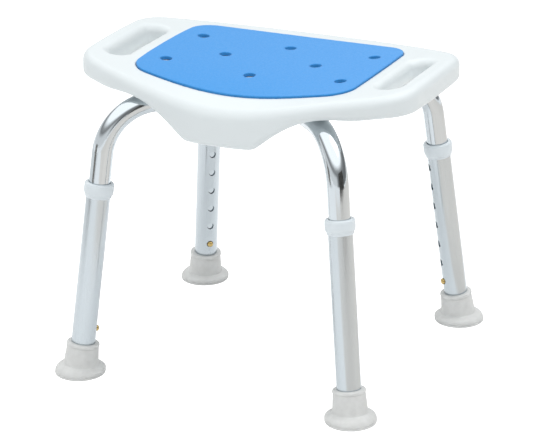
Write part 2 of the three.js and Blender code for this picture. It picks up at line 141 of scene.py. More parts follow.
BUTTON_BACK = 8.8
BUTTON_COLLAR = 4.6
BUTTON_COLLAR_FRONT = 10.1
BUTTON_RADIUS = 3.75
BUTTON_TIP = 17.4
WALL_CUT = (6, 20)  # how far from the leg's axis a hole's cutter starts and ends
SPRING_WIDTH = 7.6
SPRING_STRIP = 0.8
SPRING_BACK = -10.2
SPRING_FOLD = 38

SCREW_STATIONS = {"inner": 57, "outer": 76}
SCREW_SHANK = 2.9
SCREW_HEAD = 5.6
SCREW_HEAD_HEIGHT = 3.4
SCREW_TIP = 351.5
SCREW_HOLE = 3.2
SCREW_CUT = (300, 350)
SADDLE_BOTTOM = 311.2
SADDLE_TOP = 318
SADDLE_RADIUS = 8
INSERT_RADIUS = 5
INSERT_TOP = 353

VENT_RADIUS = 3
VENT_Y = -95
VENT_TOP = 320

LEGS = {"front_left": (-1, -1), "front_right": (1, -1), "rear_left": (-1, 1), "rear_right": (1, 1)}
FOOT_REACH = math.hypot(FOOT_X, FOOT_Y)

# ---------------------------------------------------------------- fields
# A field is negative inside a body and close to the distance from its surface, in millimetres.


def smooth_step(low, high, value):
    share = np.clip((value - low) / (high - low), 0, 1)
    return share * share * (3 - 2 * share)


def both(a, b, rounding=0.0):
    """Inside a and inside b, with a rounded edge where they meet."""
    if not rounding:
        return np.maximum(a, b)
    corner = np.hypot(np.maximum(a + rounding, 0), np.maximum(b + rounding, 0))
    return np.minimum(np.maximum(a, b), -rounding) + corner


def without(a, b, rounding=0.0):
    return both(a, -b, rounding)


def soft_min(a, b, width):
    share = np.clip(0.5 + 0.5 * (b - a) / width, 0, 1)
    return b + (a - b) * share - width * share * (1 - share)


def circle_crossing(x1, radius1, y2, radius2):
    """Where the circle about (x1, 0) crosses the one about (0, y2), in the positive quadrant."""
    span = math.hypot(x1, y2)
    along = (span**2 + radius1**2 - radius2**2) / (2 * span)
    aside = math.sqrt(radius1**2 - along**2)
    ux, uy = -x1 / span, y2 / span
    points = [(x1 + along * ux + side * aside * uy, along * uy - side * aside * ux) for side in (1, -1)]
    return next(point for point in points if min(point) > 0)


def outline_field(x, y, half_length, half_width, end_radius, side_radius, corner_radius, grow=0.0):
    """Distance from an outline of two end arcs, two side arcs and four corner fillets."""
    x, y = np.abs(x), np.abs(y)
    end_x = half_length - end_radius
    side_y = half_width - side_radius
    inner_radii = end_radius - corner_radius, side_radius - corner_radius
    corner_x, corner_y = circle_crossing(end_x, inner_radii[0], side_y, inner_radii[1])
    end = np.hypot(x - end_x, y) - end_radius
    side = np.hypot(x, y - side_y) - side_radius
    corner = np.hypot(x - corner_x, y - corner_y) - corner_radius
    past_end = (y - corner_y) * (corner_x - end_x) > (x - corner_x) * corner_y
    past_side = (x - corner_x) * (corner_y - side_y) > (y - corner_y) * corner_x
    return np.where(past_end & past_side, corner, np.maximum(end, side)) - grow


def seat_top(x, y):
    dish = END_RISE * (x / SEAT["half_length"]) ** 2
    across = y / SEAT["half_width"]
    fade = np.clip(1 - (x / FRONT_DROP_HALF_SPAN) ** 2, 0, 1) ** 2
    drop = FRONT_DROP * np.maximum(-across, 0) ** FRONT_DROP_POWER * fade
    return SEAT_HEIGHT + dish - CROWN * across**2 - drop


def seat_underside(x, y):
    thickness = PANEL + (LOBE - PANEL) * smooth_step(LOBE_START, LOBE_FULL, np.abs(x))
    beyond = np.abs(x) - APRON_HALF_FLAT
    eased = 0.5 * (beyond + np.hypot(beyond, APRON_EASE))
    flank = np.clip(1 - eased / APRON_FLANK, 0, 1) ** 2
    lip = smooth_step(APRON_MIDDLE_END, APRON_LIP_START, np.abs(y))
    depth = APRON_DEPTH * flank * (APRON_MIDDLE_SHARE + (1 - APRON_MIDDLE_SHARE) * lip)
    return soft_min(seat_top(x, y) - thickness, APRON_TOP - depth, APRON_BLEND)


def leg_angle(sx, sy):
    return math.atan2(sy * FOOT_Y, sx * FOOT_X)


def drains():
    corners = [(sx * DRAIN_CORNER[0], sy * DRAIN_CORNER[1]) for sx, sy in LEGS.values()]
    ends = [(side * DRAIN_SIDE[0], 0) for side in (-1, 1)]
    sides = [(0, side * DRAIN_SIDE[1]) for side in (-1, 1)]
    return corners + ends + sides


def seat_field(x, y, above):
    """The seat moulding; above is the height over the seat's top surface."""
    height = seat_top(x, y) + above
    rim = outline_field(x, y, **SEAT)
    step = 0.5
    slope_x = (seat_underside(x + step, y) - seat_underside(x - step, y)) / (2 * step)
    slope_y = (seat_underside(x, y + step) - seat_underside(x, y - step)) / (2 * step)
    under = (seat_underside(x, y) - height) / np.sqrt(1 + slope_x**2 + slope_y**2)
    body = np.maximum(both(rim, above, TOP_EDGE), both(rim, under, LOW_EDGE))
    for side in (-1, 1):
        half_straight = (GRIP_LENGTH - GRIP_WIDTH) / 2
        past = np.maximum(np.abs(y - GRIP_Y) - half_straight, 0)
        narrowing = GRIP_DRAFT * np.maximum(-above, 0)
        grip = np.hypot(x - side * GRIP_X, past) - GRIP_WIDTH / 2 + narrowing
        body = without(body, grip, GRIP_LIP)
    recess = np.maximum(outline_field(x, y, **PAD, grow=RECESS_MARGIN), -RECESS_DEPTH - above)
    body = without(body, recess, SMALL_EDGE)
    for drain_x, drain_y in drains():
        body = without(body, np.hypot(x - drain_x, y - drain_y) - SEAT_HOLE, SMALL_EDGE)
    for sx, sy in LEGS.values():
        angle = leg_angle(sx, sy)
        out = x * math.cos(angle) + y * math.sin(angle)
        across = y * math.cos(angle) - x * math.sin(angle)
        over = np.maximum(height - RUN_HEIGHT, 0)
        bore = np.hypot(across, over) - UPPER_RADIUS - CHANNEL_CLEARANCE
        channel = np.maximum(bore, INNER_END - PLUG_HEAD - 1 - out)
        body = without(body, channel, CHANNEL_EDGE)
        for station in SCREW_STATIONS.values():
            pocket = np.hypot(out - station, across) - INSERT_RADIUS - GAP
            body = np.maximum(body, -np.maximum(pocket, height - INSERT_TOP - GAP))
    vent = np.hypot(x, y - VENT_Y) - VENT_RADIUS
    return np.maximum(body, -np.maximum(vent, height - VENT_TOP))


def pad_field(x, y, above):
    middle = GAP - RECESS_DEPTH + PAD_THICKNESS / 2
    slab = np.abs(above - middle) - PAD_THICKNESS / 2
    body = both(outline_field(x, y, **PAD), slab, PAD_EDGE)
    for drain_x, drain_y in drains():
        body = without(body, np.hypot(x - drain_x, y - drain_y) - PAD_HOLE, PAD_EDGE)
    return body


# ---------------------------------------------------------------- contouring


def gradient(field, points, step=0.03):
    """Unit gradient of a field at each point."""
    columns = []
    for axis in range(3):
        offset = np.zeros(3)
        offset[axis] = step
        ahead, behind = (points + offset).T, (points - offset).T
        columns.append(field(*ahead) - field(*behind))
    slope = np.stack(columns, axis=1)
    return slope / np.maximum(np.linalg.norm(slope, axis=1, keepdims=True), 1e-12)


def crossings(field, values, low, spacing, axis, rounds=4):
    """Grid edges along an axis that the surface crosses: their start, where, and which way it faces."""
    inside = values < 0
    count = values.shape[axis]
    starts = inside.take(range(count - 1), axis)
    ends = inside.take(range(1, count), axis)
    index = np.argwhere(starts != ends)
    step = np.eye(3, dtype=int)[axis]
    near, far = values[tuple(index.T)], values[tuple((index + step).T)]
    share_low, share_high = np.zeros(len(index)), np.ones(len(index))
    for _ in range(rounds):
        share = share_low + (share_high - share_low) * near / (near - far)
        found = field(*(low + (index + share[:, None] * step) * spacing).T)
        same = (found < 0) == (near < 0)
        share_low, near = np.where(same, share, share_low), np.where(same, found, near)
        share_high, far = np.where(same, share_high, share), np.where(same, far, found)
    points = low + (index + share[:, None] * step) * spacing
    return index, points, starts[tuple(index.T)]


def contour(field, low, high, cell, damping=0.05):
    """The surface of a field as quads, by dual contouring, so that creases stay sharp."""
    low, high = np.array(low, float), np.array(high, float)
    counts = np.ceil((high - low) / np.array(cell)).astype(int) + 1
    spacing = (high - low) / (counts - 1)
    axes = [np.linspace(low[k], high[k], counts[k]) for k in range(3)]
    values = field(axes[0][:, None, None], axes[1][None, :, None], axes[2][None, None, :])
    owners, points, flips = [], [], []
    for axis in range(3):
        index, crossing, outward = crossings(field, values, low, spacing, axis)
        u, v = [k for k in range(3) if k != axis]
        around = []
        for du, dv in ((0, 0), (-1, 0), (-1, -1), (0, -1)):
            corner = index.copy()
            corner[:, u] += du
            corner[:, v] += dv
            around.append(np.ravel_multi_index(corner.T, counts - 1))
        owners.append(np.stack(around, axis=1))
        points.append(crossing)
        flips.append(outward == (axis == 1))
    owners, points, flips = np.concatenate(owners), np.concatenate(points), np.concatenate(flips)
    normals = gradient(field, points)
    cells, quads = np.unique(owners, return_inverse=True)
    quads = quads.reshape(owners.shape)
    slot = quads.ravel()
    count = np.bincount(slot)

    def spread(amount):
        return np.bincount(slot, weights=np.repeat(amount, 4))

    middle = np.stack([spread(points[:, k]) for k in range(3)], axis=1) / count[:, None]
    square = np.stack([spread(normals[:, i] * normals[:, j]) for i in range(3) for j in range(3)], axis=1)
    reach = np.sum(normals * points, axis=1)
    right = np.stack([spread(normals[:, k] * reach) for k in range(3)], axis=1)
    square = square.reshape(-1, 3, 3)
    right -= np.einsum("nij,nj->ni", square, middle)
    square += np.eye(3) * (damping * count)[:, None, None]
    vertices = middle + np.linalg.solve(square, right[:, :, None])[:, :, 0]
    corner = low + np.stack(np.unravel_index(cells, counts - 1), axis=1) * spacing
    vertices = np.clip(vertices, corner, corner + spacing)
    quads[flips] = quads[flips][:, ::-1]
    return vertices, quads


def corner_normals(field, vertices, quads, crease=0.93, inset=0.35):
    """A normal for each face corner: the surface's own, or its face's side of a crease."""
    smooth = gradient(field, vertices)[quads]
    corners = vertices[quads]
    middle = corners.mean(axis=1, keepdims=True)
    flat = np.cross(corners[:, 2] - corners[:, 0], corners[:, 3] - corners[:, 1])
    flat /= np.maximum(np.linalg.norm(flat, axis=1, keepdims=True), 1e-12)
    creased = np.einsum("nkj,nj->nk", smooth, flat) < crease
    inward = corners + inset * (middle - corners)
    smooth[creased] = gradient(field, inward[creased])
    return smooth


def lifted(normals, points):
    """Normals over the seat's dished top, from those over a flat one."""
    x, y = points[..., 0], points[..., 1]
    step = 0.1
    slope_x = (seat_top(x + step, y) - seat_top(x - step, y)) / (2 * step)
    slope_y = (seat_top(x, y + step) - seat_top(x, y - step)) / (2 * step)
    tilted = normals.copy()
    tilted[..., 0] -= normals[..., 2] * slope_x
    tilted[..., 1] -= normals[..., 2] * slope_y
    return tilted / np.linalg.norm(tilted, axis=-1, keepdims=True)


# ---------------------------------------------------------------- pieces


def finish_piece(piece, body, slot, *replaced, in_place=False):
    """Paints a piece and rides it on its body. Its own axes stay the row's unless it is in_place."""
    piece.data.materials.clear()
    piece.data.materials.append(MATERIALS[slot])
    if not in_place:
        piece.data.transform(piece.matrix_world)
        piece.matrix_world = Matrix.Identity(4)
    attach(piece, body)
    if replaced:
        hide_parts(*replaced)
    return piece


def make_object(name, vertices, faces, place=None, sharp=40):
    """An object from millimetre vertices, with smooth shading up to an angle in degrees."""
    mesh = bpy.data.meshes.new(name)
    points = (np.array(vertices, float) * MM).tolist()
    mesh.from_pydata(points, [], [list(map(int, face)) for face in faces])
    mesh.validate()
    mesh.shade_smooth()
    if sharp:
        mesh.set_sharp_from_angle(angle=math.radians(sharp))
    piece = bpy.data.objects.new(name, mesh)
    bpy.context.scene.collection.objects.link(piece)
    if place is not None:
        piece.matrix_world = place
    return piece


def contoured(name, field, low, high, cell):
    vertices, quads = contour(field, low, high, cell)
    normals = lifted(corner_normals(field, vertices, quads), vertices[quads])
    vertices[:, 2] += seat_top(vertices[:, 0], vertices[:, 1])
    piece = make_object(name, vertices, quads, sharp=None)
    piece.data.normals_split_custom_set(normals.reshape(-1, 3).tolist())
    return piece


def rounded_profile(corners, steps=5):
    """Points of a closed profile from (radius, height, rounding) corners."""
    points = []
    count = len(corners)
    for i, (radius, height, rounding) in enumerate(corners):
        here = Vector((radius, height))
        before = Vector(corners[i - 1][:2]) - here
        after = Vector(corners[(i + 1) % count][:2]) - here
        if not rounding:
            points.append(here)
            continue
        start = here + before.normalized() * min(rounding, before.length * 0.49)
        end = here + after.normalized() * min(rounding, after.length * 0.49)
        for k in range(steps + 1):
            t = k / steps
            points.append(start * (1 - t) ** 2 + here * (2 * t * (1 - t)) + end * t**2)
    return points


def turned(name, corners, place, sides=64, ring=None):
    """A body turned about its own +Z from a closed profile. ring(radius, height, turn) bends it."""
    profile = rounded_profile(corners)
    ring = ring or (lambda radius, height, turn: (radius * math.cos(turn), radius * math.sin(turn), height))
    vertices = [ring(p.x, p.y, 2 * math.pi * k / sides) for p in profile for k in range(sides)]
    count = len(profile)
    faces = []
    for i in range(count):
        j = (i + 1) % count
        if profile[i].x < 1e-9 and profile[j].x < 1e-9:
            continue
        for k in range(sides):
            m = (k + 1) % sides
            faces.append((i * sides + k, i * sides + m, j * sides + m, j * sides + k))
    piece = make_object(name, vertices, faces, place, sharp=None)
    tidy(piece)
    return piece


def tidy(piece, sharp=40):
    """Joins doubled vertices, drops flat faces and turns the faces outwards."""
    mesh = piece.data
    work = bmesh.new()
    work.from_mesh(mesh)
    bmesh.ops.remove_doubles(work, verts=work.verts, dist=1e-6)
    bmesh.ops.dissolve_degenerate(work, edges=work.edges, dist=1e-7)
    bmesh.ops.recalc_face_normals(work, faces=work.faces)
    work.to_mesh(mesh)
    work.free()
    mesh.shade_smooth()
    mesh.set_sharp_from_angle(angle=math.radians(sharp))


def swept(name, path, radii, sides, place):
    """A tube along (centre, direction) stations in the leg's upright plane, with an inner wall."""
    rings = []
    for radius in radii:
        order = path if radius == radii[0] else path[::-1]
        for centre, direction in order:
            across = Vector((direction.z, 0, -direction.x))
            for k in range(sides):
                turn = 2 * math.pi * k / sides
                aside = Vector((0, radius * math.sin(turn), 0))
                rings.append(centre + across * (radius * math.cos(turn)) + aside)
    count = len(rings) // sides
    faces = []
    for i in range(count):
        j = (i + 1) % count
        for k in range(sides):
            m = (k + 1) % sides
            faces.append((i * sides + k, i * sides + m, j * sides + m, j * sides + k))
    piece = make_object(name, rings, faces, place, sharp=None)
    tidy(piece)
    return piece


def cut(piece, *tools):
    """Cuts the tools out of a piece and removes them."""
    for tool in tools:
        modifier = piece.modifiers.new("cut", "BOOLEAN")
        modifier.operation = "DIFFERENCE"
        modifier.solver = "EXACT"
        modifier.object = tool
    bpy.context.view_layer.update()
    result = bpy.data.meshes.new_from_object(piece.evaluated_get(bpy.context.evaluated_depsgraph_get()))
    piece.modifiers.clear()
    piece.data = result
    for tool in tools:
        bpy.data.objects.remove(tool)
    tidy(piece, sharp=30)
    return piece


def cylinder(radius, bottom, top, place, sides=40):
    corners = [(0, bottom, 0), (radius, bottom, 0), (radius, top, 0), (0, top, 0)]
    return turned("tool", corners, place, sides)


# ---------------------------------------------------------------- leg frames


def metres(matrix):
    """A placement given in millimetres, in metres."""
    placed = matrix.copy()
    placed.translation *= MM
    return placed


def upright_plane(sx, sy):
    """Local +X runs outwards along the leg's diagonal and +Z up, from the floor under the middle."""
    return Matrix.Rotation(leg_angle(sx, sy), 4, "Z")


AXIS_UP = Vector((-math.sin(SPLAY), 0, math.cos(SPLAY)))


def on_axis(station):
    return Vector((FOOT_REACH, 0, 0)) + AXIS_UP * station


def along_leg(sx, sy):
    """Local +Z runs up the leg's axis from the floor, and -X faces the seat's middle."""
    tilt = Matrix.Translation((FOOT_REACH, 0, 0)) @ Matrix.Rotation(-SPLAY, 4, "Y")
    return upright_plane(sx, sy) @ tilt


def facing_inward(sx, sy, station):
    """Local +Z runs from the leg's axis towards the seat's middle."""
    turn = Matrix.Translation((0, 0, station)) @ Matrix.Rotation(-math.pi / 2, 4, "Y")
    return along_leg(sx, sy) @ turn


def upper_path(bend_steps=36):
    turn = math.pi / 2 - SPLAY
    bend_start = RUN_HEIGHT / math.cos(SPLAY) - BEND_RADIUS * math.tan(turn / 2)
    inward = Vector((-math.cos(SPLAY), 0, -math.sin(SPLAY)))
    centre = on_axis(bend_start) + inward * BEND_RADIUS
    straight = 12
    lift = (bend_start - UPPER_BOTTOM) / straight
    path = [(on_axis(UPPER_BOTTOM + lift * k), AXIS_UP) for k in range(straight)]
    for k in range(bend_steps + 1):
        angle = turn * k / bend_steps
        direction = AXIS_UP * math.cos(angle) + inward * math.sin(angle)
        outward = AXIS_UP * math.sin(angle) - inward * math.cos(angle)
        path.append((centre + outward * BEND_RADIUS, direction))
    run_start = path[-1][0].x
    for k in range(1, straight + 1):
        x = run_start + (INNER_END - run_start) * k / straight
        path.append((Vector((x, 0, RUN_HEIGHT)), Vector((-1, 0, 0))))
    return path


# ---------------------------------------------------------------- materials


class Shader:
    """A Principled material and the few node chains that the finishes share."""

    def __init__(self, name, color, roughness, metallic=0.0, **sockets):
        self.material = bpy.data.materials.new(name)
        self.material.use_nodes = True
        self.tree = self.material.node_tree
        self.bsdf = self.tree.nodes["Principled BSDF"]
        self.color = color
        self.set(self.bsdf, "Base Color", (*color, 1))
        self.set(self.bsdf, "Roughness", roughness)
        self.set(self.bsdf, "Metallic", metallic)
        for socket, value in sockets.items():
            self.set(self.bsdf, socket.replace("_", " "), value)

    def set(self, node, socket, value):
        node.inputs[socket].default_value = value

    def node(self, kind, **values):
        node = self.tree.nodes.new(kind)
        for key, value in values.items():
            setattr(node, key, value)
        return node

    def link(self, source, target):
        self.tree.links.new(source, target)

    def noise(self, scale, detail=3.0, stretch=(1, 1, 1), coordinates="Object", rough=0.5):
        """Noise of that many cells a metre, drawn out along an axis where stretch is under 1."""
        place = self.node("ShaderNodeTexCoord")
        mapping = self.node("ShaderNodeMapping")
        self.set(mapping, "Scale", stretch)
        texture = self.node("ShaderNodeTexNoise")
        self.set(texture, "Scale", scale)
        self.set(texture, "Detail", detail)
        self.set(texture, "Roughness", rough)
        self.link(place.outputs[coordinates], mapping.inputs["Vector"])
        self.link(mapping.outputs["Vector"], texture.inputs["Vector"])
        return texture.outputs["Fac"]

    def ramp(self, source, low, high, start=0.35, end=0.65):
        ramp = self.node("ShaderNodeValToRGB")
        ramp.color_ramp.elements[0].position = start
        ramp.color_ramp.elements[1].position = end
        ramp.color_ramp.elements[0].color = (*low, 1)
        ramp.color_ramp.elements[1].color = (*high, 1)
        self.link(source, ramp.inputs["Fac"])
        return ramp.outputs["Color"]

    def tint(self, source, amount):
        """Lets the colour drift by a share of itself with a noise."""
        low = [channel * (1 - amount) for channel in self.color]
        high = [min(1, channel * (1 + amount)) for channel in self.color]
        self.link(self.ramp(source, low, high), self.bsdf.inputs["Base Color"])

    def vary_roughness(self, source, low, high):
        spread = self.node("ShaderNodeMapRange")
        for socket, value in zip(("From Min", "From Max", "To Min", "To Max"), (0.3, 0.7, low, high)):
            self.set(spread, socket, value)
        self.link(source, spread.inputs["Value"])
        self.link(spread.outputs["Result"], self.bsdf.inputs["Roughness"])

    def bump(self, source, height, previous=None):
        """Relief of that height in metres; chain it on a previous bump."""
        bump = self.node("ShaderNodeBump")
        self.set(bump, "Distance", height)
        self.set(bump, "Strength", 1.0)
        self.link(source, bump.inputs["Height"])
        if previous is not None:
            self.link(previous, bump.inputs["Normal"])
        self.link(bump.outputs["Normal"], self.bsdf.inputs["Normal"])
        return bump.outputs["Normal"]


def moulded_plastic():
    """Blow-moulded polyethylene: satin, with a fine orange-peel skin."""
    shader = Shader("moulded_plastic", (0.545, 0.588, 0.602), 0.42, Coat_Weight=0.06, Coat_Roughness=0.25)
    shader.tint(shader.noise(9, 2), 0.012)
    shader.vary_roughness(shader.noise(60, 4), 0.38, 0.48)
    waves = shader.bump(shader.noise(70, 1), 0.00010)
    shader.bump(shader.noise(900, 2), 0.00003, waves)
    return shader.material


def fitting_plastic():
    """Injection-moulded plastic of the collars and plugs."""
    shader = Shader("fitting_plastic", (0.54, 0.59, 0.62), 0.36)
    shader.tint(shader.noise(30, 2), 0.012)
    shader.vary_roughness(shader.noise(300, 3), 0.32, 0.42)
    shader.bump(shader.noise(1500, 2), 0.00002)
    return shader.material


def pad_foam():
    """Closed-cell foam with a fine pebbled skin."""
    shader = Shader("pad_foam", (0.018, 0.213, 0.540), 0.72, Sheen_Weight=0.15, Sheen_Roughness=0.5)
    shader.tint(shader.noise(1200, 3), 0.05)
    shader.vary_roughness(shader.noise(400, 3), 0.62, 0.82)
    cells = shader.node("ShaderNodeTexVoronoi")
    cells.feature = "SMOOTH_F1"
    place = shader.node("ShaderNodeTexCoord")
    shader.link(place.outputs["Object"], cells.inputs["Vector"])
    shader.set(cells, "Scale", 1100)
    pebbles = shader.bump(cells.outputs["Distance"], 0.00010)
    shader.bump(shader.noise(350, 4), 0.00006, pebbles)
    return shader.material


def polished_tube():
    """Polished aluminium with faint draw lines along the tube."""
    shader = Shader("polished_tube", (0.515, 0.56, 0.59), 0.09, 1.0)
    lines = shader.noise(1400, 2, (1, 0.012, 1), "UV")
    shader.vary_roughness(lines, 0.07, 0.12)
    shader.bump(lines, 0.000004)
    return shader.material


def satin_tube():
    """Satin anodised aluminium, brushed along the tube."""
    shader = Shader("satin_tube", (0.475, 0.52, 0.55), 0.26, 1.0)
    lines = shader.noise(1600, 3, (1, 1, 0.015))
    shader.tint(lines, 0.02)
    shader.vary_roughness(lines, 0.19, 0.28)
    shader.bump(lines, 0.00001)
    return shader.material


def foot_rubber():
    """Warm grey rubber, slightly mottled."""
    shader = Shader("foot_rubber", (0.51, 0.52, 0.515), 0.55)
    shader.tint(shader.noise(120, 4), 0.04)
    shader.vary_roughness(shader.noise(500, 3), 0.48, 0.64)
    shader.bump(shader.noise(1300, 3), 0.00005)
    return shader.material


def metal(name, color, low, high):
    shader = Shader(name, color, (low + high) / 2, 1.0)
    shader.tint(shader.noise(500, 3), 0.04)
    shader.vary_roughness(shader.noise(900, 3), low, high)
    shader.bump(shader.noise(2500, 2), 0.00001)
    return shader.material


MATERIALS = {
    "seat_plastic": moulded_plastic(),
    "pad_foam": pad_foam(),
    "polished_tube": polished_tube(),
    "satin_tube": satin_tube(),
    "fitting_plastic": fitting_plastic(),
    "foot_rubber": foot_rubber(),
    "brass": metal("brass", (0.50, 0.37, 0.15), 0.16, 0.3),
    "steel": metal("steel", (0.62, 0.64, 0.66), 0.2, 0.36),
}

# ---------------------------------------------------------------- seat and pad


def make_seat():
    margin = 6
    lowest = -SEAT_HEIGHT + APRON_TOP - APRON_DEPTH
    low = (-SEAT["half_length"] - margin, -SEAT["half_width"] - margin, lowest - margin)
    high = (SEAT["half_length"] + margin, SEAT["half_width"] + margin, margin)
    cell = ((2.0, 2.0, 1.8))
    piece = contoured("seat_moulding_shell", seat_field, low, high, cell)
    finish_piece(piece, "root", "seat_plastic", "seat_moulding")


def make_pad():
    margin = 4
    low = (-PAD["half_length"] - margin, -PAD["half_width"] - margin, -RECESS_DEPTH - 1)
    high = (PAD["half_length"] + margin, PAD["half_width"] + margin, PAD_THICKNESS)
    cell = ((1.5, 1.5, 0.55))
    piece = contoured("seat_pad_foam", pad_field, low, high, cell)
    finish_piece(piece, "root", "pad_foam", "seat_pad")


# ---------------------------------------------------------------- legs


def unrolled_map(piece, path):
    """A UV map in metres: round the tube, and along its centre line."""
    lengths = [0.0]
    for (start, _), (end, _) in zip(path, path[1:]):
        lengths.append(lengths[-1] + (end - start).length)
    layer = piece.data.uv_layers.new(name="unrolled")
    centres = np.array([list(centre) for centre, _ in path])
    for loop in piece.data.loops:
        point = np.array(piece.data.vertices[loop.vertex_index].co) / MM
        nearest = int(np.argmin(np.sum((centres - point) ** 2, axis=1)))
        direction = path[nearest][1]
        offset = Vector(point) - path[nearest][0]
        across = Vector((direction.z, 0, -direction.x))
        turn = math.atan2(offset.y, offset.dot(across))
        along = lengths[nearest] + offset.dot(direction)
        layer.data[loop.index].uv = (turn * UPPER_RADIUS * MM, along * MM)


def make_upper_tube(leg, sx, sy):
    place = metres(upright_plane(sx, sy))
    path = upper_path()
    tube = swept(f"{leg}_bent_tube", path, (UPPER_RADIUS, UPPER_RADIUS - UPPER_WALL), 64, place)
    tools = [cylinder(UPPER_HOLE, *WALL_CUT, metres(facing_inward(sx, sy, FIRST_HOLE)))]
    for station in SCREW_STATIONS.values():
        spot = metres(upright_plane(sx, sy) @ Matrix.Translation((station, 0, 0)))
        tools.append(cylinder(SCREW_HOLE, *SCREW_CUT, spot))
    cut(tube, *tools)
    unrolled_map(tube, path)
    finish_piece(tube, "root", "polished_tube", f"{leg}_upper_tube")


def make_lower_tube(leg, sx, sy):
    place = metres(along_leg(sx, sy))
    steps = 40
    stations = [LOWER_BOTTOM + (LOWER_TOP - LOWER_BOTTOM) * k / steps for k in range(steps + 1)]
    inside = LOWER_RADIUS - LOWER_WALL
    corners = [(LOWER_RADIUS, s, 0) for s in stations] + [(inside, s, 0) for s in reversed(stations)]
    tube = turned(f"{leg}_sliding_tube", corners, place, sides=72)
    holes = [FIRST_HOLE + HOLE_PITCH * k for k in range(HOLE_COUNT)]
    cut(tube, *[cylinder(LOWER_HOLE, *WALL_CUT, metres(facing_inward(sx, sy, hole))) for hole in holes])
    finish_piece(tube, f"{leg}_lower_leg", "satin_tube", f"{leg}_lower_tube", in_place=True)


def make_collar(leg, sx, sy):
    bore = UPPER_RADIUS + GAP
    seat = LOWER_RADIUS + GAP
    corners = [
        (COLLAR_NECK, COLLAR_BOTTOM, 0.5),
        (COLLAR_NECK + 0.4, COLLAR_BOTTOM + 3.4, 0.6),
        (COLLAR_RADIUS - 0.5, COLLAR_BOTTOM + 4.4, 1.2),
        (COLLAR_RADIUS, COLLAR_CREST, 2.0),
        (COLLAR_RADIUS - 0.3, COLLAR_TOP - 1, 2.4),
        (COLLAR_RADIUS - 3, COLLAR_TOP, 1.0),
        (bore, COLLAR_TOP, 0.4),
        (bore, LOWER_TOP + GAP, 0),
        (seat, LOWER_TOP + GAP, 0),
        (seat, COLLAR_BOTTOM, 0.3),
    ]
    collar = turned(f"{leg}_leg_collar", corners, metres(along_leg(sx, sy)), sides=80)
    finish_piece(collar, f"{leg}_lower_leg", "fitting_plastic", f"{leg}_collar")


def foot_ring(radius, height, turn):
    """A point on the foot: level at the floor, and square to the leg's axis above its flange."""
    share = min(1, max(0, (height - FOOT_LEVEL_TOP) / (FOOT_SQUARE_BOTTOM - FOOT_LEVEL_TOP)))
    level = Vector((0, 0, 1))
    direction = level.lerp(AXIS_UP, share).normalized()
    centre = on_axis(height / math.cos(SPLAY * (1 - share)))
    across = Vector((direction.z, 0, -direction.x))
    point = centre + across * (radius * math.cos(turn)) + Vector((0, radius * math.sin(turn), 0))
    return tuple(point)


def make_foot(leg, sx, sy):
    bore = LOWER_RADIUS + GAP
    treads = []
    for radius in TREAD_RADII:
        treads += [(radius, 0, 0.3), (radius + 0.8, TREAD_DEPTH, 0.3)]
        treads += [(radius + 1.8, TREAD_DEPTH, 0.3), (radius + 2.6, 0, 0.3)]
    corners = [(0, 0, 0)] + treads + [
        (FOOT_FLANGE - 0.7, 0, 0.5),
        (FOOT_FLANGE, 0.9, 0.5),
        (FOOT_FLANGE, 2.6, 0.3),
        (FOOT_FLANGE - 0.6, 3.0, 0.2),
        (FOOT_FLANGE, 3.4, 0.3),
        (FOOT_FLANGE, 5.8, 1.5),
        (FOOT_FLANGE - 2.2, 8.6, 2.2),
        (FOOT_SOCKET_BASE + 3.2, 10.8, 2.0),
        (FOOT_SOCKET_BASE + 0.2, 11.8, 0.9),
        (FOOT_SOCKET_BASE - 0.5, 14.6, 0.9),
        (FOOT_SOCKET_TOP + 0.1, FOOT_HEIGHT - 5.0, 0.3),
        (FOOT_SOCKET_TOP - 0.3, FOOT_HEIGHT - 4.4, 0.3),
        (FOOT_SOCKET_TOP + 0.7, FOOT_HEIGHT - 3.7, 0.5),
        (FOOT_SOCKET_TOP + 0.7, FOOT_HEIGHT - 1.1, 0.9),
        (FOOT_SOCKET_TOP - 0.7, FOOT_HEIGHT, 1.0),
        (LOWER_RADIUS + 0.05, FOOT_HEIGHT - 0.1, 0.1),
        (LOWER_RADIUS + 0.05, FOOT_HEIGHT - 3.5, 0.3),
        (bore, FOOT_HEIGHT - 4.2, 0),
        (bore, FOOT_BORE_FLOOR, 0),
        (0, FOOT_BORE_FLOOR, 0),
    ]
    foot = turned(f"{leg}_rubber_tip", corners, metres(upright_plane(sx, sy)), sides=80, ring=foot_ring)
    finish_piece(foot, f"{leg}_lower_leg", "foot_rubber", f"{leg}_rubber_foot")


def make_button(leg, sx, sy):
    corners = [
        (0, BUTTON_BACK, 0),
        (BUTTON_COLLAR, BUTTON_BACK, 0.3),
        (BUTTON_COLLAR, BUTTON_COLLAR_FRONT, 0.3),
        (BUTTON_RADIUS, BUTTON_COLLAR_FRONT, 0),
        (BUTTON_RADIUS, BUTTON_TIP - 1.8, 0.9),
        (BUTTON_RADIUS - 0.85, BUTTON_TIP - 0.5, 1.2),
        (BUTTON_RADIUS - 2.35, BUTTON_TIP, 0.8),
        (0, BUTTON_TIP, 0),
    ]
    button = turned(f"{leg}_button_stud", corners, metres(facing_inward(sx, sy, FIRST_HOLE)), sides=40)
    finish_piece(button, f"{leg}_button", "brass", f"{leg}_snap_button")


def softened(points, rounds=3):
    """An open path with its corners cut to curves."""
    for _ in range(rounds):
        inner = []
        for a, b in zip(points, points[1:]):
            inner += [a.lerp(b, 0.25), a.lerp(b, 0.75)]
        points = [points[0], *inner, points[-1]]
    return points


